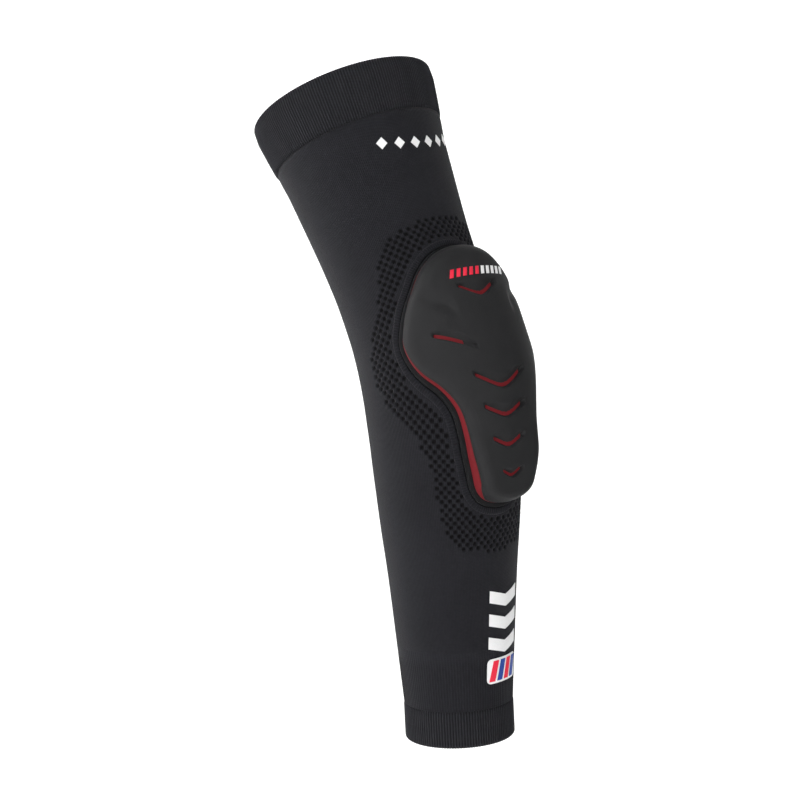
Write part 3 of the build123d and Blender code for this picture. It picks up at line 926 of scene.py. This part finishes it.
class ELBOWPAD_OT_studio(bpy.types.Operator):
    """Set up the pale room, the soft lights and the camera"""
    bl_idname = "elbow_pad.studio"
    bl_label = "Studio"

    def execute(self, context):
        studio = context.scene.elbow_studio
        context.scene.view_settings.view_transform = "Standard"
        self.room(studio)
        self.flag()
        aim, towards, right, up = self.camera_axes(studio)
        camera = bpy.data.objects.new("camera", bpy.data.cameras.new("camera"))
        context.scene.collection.objects.link(camera)
        camera.data.lens, camera.data.sensor_width = studio.lens, 36
        camera.data.clip_end = 100
        place = Matrix((right, up, towards)).transposed().to_4x4()
        place.translation = aim + towards * studio.distance
        camera.matrix_world = place
        context.scene.camera = camera
        for name, azimuth, height, distance, size, power in LIGHTS:
            lamp = bpy.data.lights.new(name, "AREA")
            lamp.shape, lamp.size, lamp.energy = "SQUARE", size, power
            light = bpy.data.objects.new(name, lamp)
            out = self.direction(radians(azimuth), radians(height))
            light.location = out * distance
            light.rotation_euler = out.to_track_quat("Z", "Y").to_euler()
            context.scene.collection.objects.link(light)
        return {"FINISHED"}

    @staticmethod
    def direction(turn, rise):
        """Unit vector from the elbow, turned round the arm from its front and raised."""
        return Vector((sin(turn) * cos(rise), -cos(turn) * cos(rise), sin(rise)))

    @classmethod
    def camera_axes(cls, studio):
        """Aim point, and the camera's backward, right and up directions, turned by its roll."""
        towards = cls.direction(studio.azimuth, studio.elevation)
        level = Vector((cos(studio.azimuth), sin(studio.azimuth), 0))
        upright = towards.cross(level)
        right = level * cos(studio.roll) + upright * sin(studio.roll)
        up = towards.cross(right)
        return -right * studio.aim_right - up * studio.aim_down, towards, right, up

    @staticmethod
    def flag():
        """Black cloth on the right, out of view, that keeps light off the pad's far side."""
        material, _, shader = new_material("black_flag", 1.0, 0.0)
        shader.inputs["Base Color"].default_value = linear("0a0a0a")
        corner = MM * np.array([(330, -600), (620, -20)])
        points = [(*corner[i], z) for i, z in ((0, -0.45), (1, -0.45), (1, 0.45), (0, 0.45))]
        mesh = bpy.data.meshes.new("flag")
        mesh.from_pydata(points, [], [(0, 1, 2, 3)])
        mesh.materials.append(material)
        cloth = bpy.data.objects.new("flag", mesh)
        bpy.context.scene.collection.objects.link(cloth)

    @staticmethod
    def room(studio):
        """Floor and backdrop as one surface: flat, then a quarter circle, then upright."""
        low = CAD_BOX[0][2] - studio.floor_drop
        floor, bow, top = 2.6, 1.5, 5.0
        angle = np.linspace(0, pi / 2, 24)
        out = np.concatenate([[0.01, 2.0], floor + bow * np.sin(angle), [floor + bow]])
        rise = np.concatenate([[0.0, 0.0], bow * (1 - np.cos(angle)), [top]])
        turn = np.linspace(0, 2 * pi, 96, endpoint=False)
        grid = np.stack([out[:, None] * np.cos(turn), out[:, None] * np.sin(turn),
                         np.repeat(low + rise[:, None], len(turn), 1)], -1)
        material, tree, shader = new_material("pale_paper", 0.9, 0.1)
        place = add_node(tree, "ShaderNodeTexCoord").outputs["Object"]
        cloud = add_node(tree, "ShaderNodeTexNoise", {"Vector": place, "Scale": 3.0})
        tree.links.new(mixed(tree, cloud.outputs["Fac"], linear("f6f6f6"), linear("fbfbfb")),
                       shader.inputs["Base Color"])
        shader.inputs["Emission Color"].default_value = linear("ffffff")
        shader.inputs["Emission Strength"].default_value = 0.45
        rows, columns = grid.shape[:2]
        index = np.arange(rows * columns).reshape(rows, columns)
        side = np.roll(index, -1, 1)
        quads = np.stack([index[:-1], side[:-1], side[1:], index[1:]], -1).reshape(-1, 4)
        mesh = bpy.data.meshes.new("room")
        mesh.from_pydata(grid.reshape(-1, 3), [], quads.tolist())
        mesh.shade_smooth()
        mesh.materials.append(material)
        backdrop = bpy.data.objects.new("room", mesh)
        bpy.context.scene.collection.objects.link(backdrop)


OPERATORS = (ELBOWPAD_OT_sleeve, ELBOWPAD_OT_cuffs, ELBOWPAD_OT_border, ELBOWPAD_OT_pad_layers,
             ELBOWPAD_OT_shell, ELBOWPAD_OT_marks, ELBOWPAD_OT_prints, ELBOWPAD_OT_studio)
GROUPS = {"elbow_sleeve": ElbowPadSleeve, "elbow_pad": ElbowPadPad,
          "elbow_colours": ElbowPadColours, "elbow_studio": ElbowPadStudio}


class ELBOWPAD_PT_pieces(bpy.types.Panel):
    """Sizes and colours of the elbow pad, and a button for each of its pieces"""
    bl_idname = "ELBOWPAD_PT_pieces"
    bl_label = "Elbow Pad"
    bl_space_type = "VIEW_3D"
    bl_region_type = "UI"
    bl_category = "Elbow Pad"

    def draw(self, context):
        for group, kind in GROUPS.items():
            box = self.layout.box()
            for name in kind.__annotations__:
                box.prop(getattr(context.scene, group), name)
        for operator in OPERATORS:
            self.layout.operator(operator.bl_idname)


def register():
    """Add the add-on's classes and its settings to Blender."""
    for kind in (*GROUPS.values(), *OPERATORS, ELBOWPAD_PT_pieces):
        bpy.utils.register_class(kind)
    for name, kind in GROUPS.items():
        setattr(bpy.types.Scene, name, bpy.props.PointerProperty(type=kind))


def unregister():
    """Take them away again."""
    for name in GROUPS:
        delattr(bpy.types.Scene, name)
    for kind in (ELBOWPAD_PT_pieces, *OPERATORS[::-1], *list(GROUPS.values())[::-1]):
        bpy.utils.unregister_class(kind)


def main():
    """Register the add-on and build every piece in order."""
    register()
    for operator in OPERATORS:
        name = operator.bl_idname.split(".")[1]
        getattr(bpy.ops.elbow_pad, name)()


if __name__ == "__main__":
    main()
